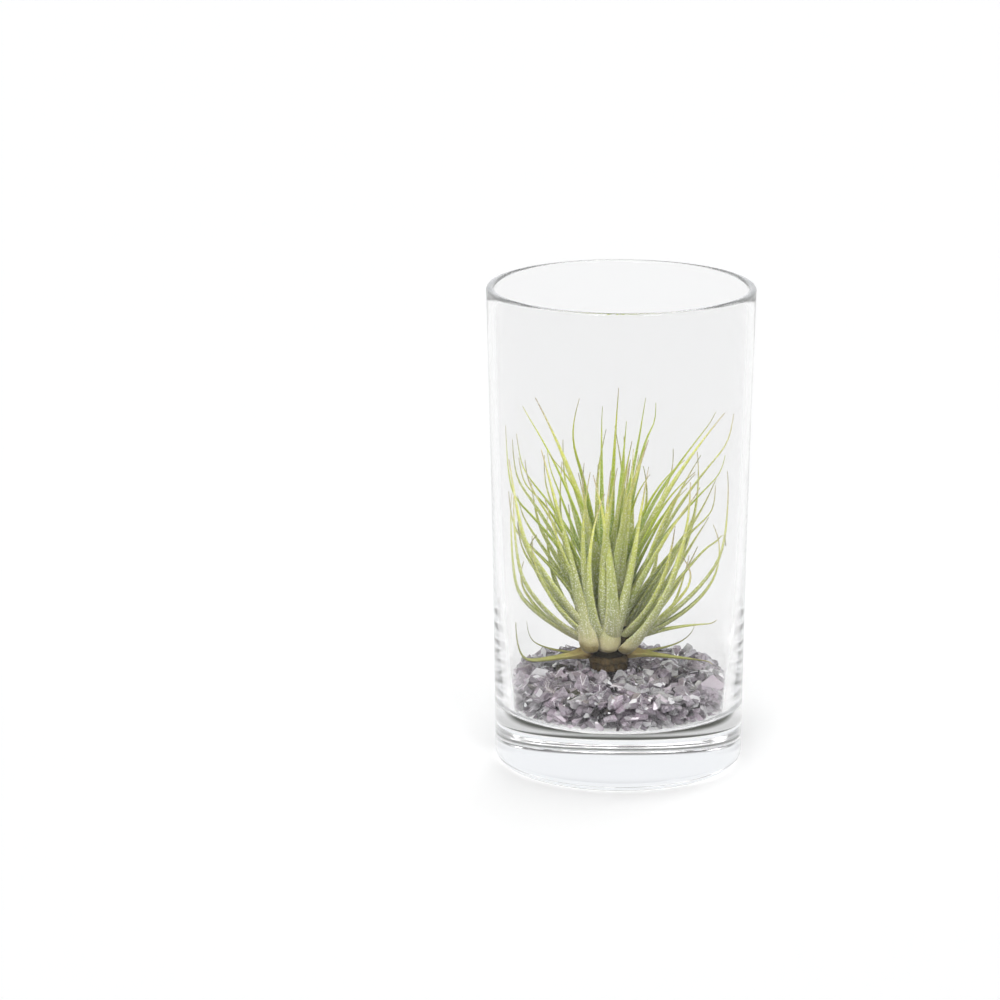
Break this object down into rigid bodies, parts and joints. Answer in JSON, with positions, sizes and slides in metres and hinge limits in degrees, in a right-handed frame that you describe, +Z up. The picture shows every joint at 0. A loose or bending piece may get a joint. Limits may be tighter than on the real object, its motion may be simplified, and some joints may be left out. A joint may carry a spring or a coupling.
{
  "type": "air plant in a glass tumbler",
  "caption": "Narrow-leaved air plant standing on a bed of crushed lilac chips inside a tall, thick-based glass tumbler.",
  "frame": {"origin": "centre of the tumbler's standing ring, on the surface it stands on", "axes": "+Z up along the tumbler's axis; -Y is the side that faces the camera in the picture; +X to the right of it"},
  "size_m": [0.066, 0.066, 0.12],
  "materials": {
    "clear_glass": "polished clear",
    "amethyst_chips": "split crystal, glossy",
    "dead_stem": "rough, dark brown",
    "withered_leaf": "dry, straw coloured",
    "green_leaf": "silvery green, finely scaled, matte"
  },
  "bodies": {
    "root": {"glass_tumbler": "clear_glass", "chip_bed": "amethyst_chips", "root_stub": "dead_stem", "withered_leaves": "withered_leaf", "rosette": "green_leaf"}
  },
  "joints": []
}
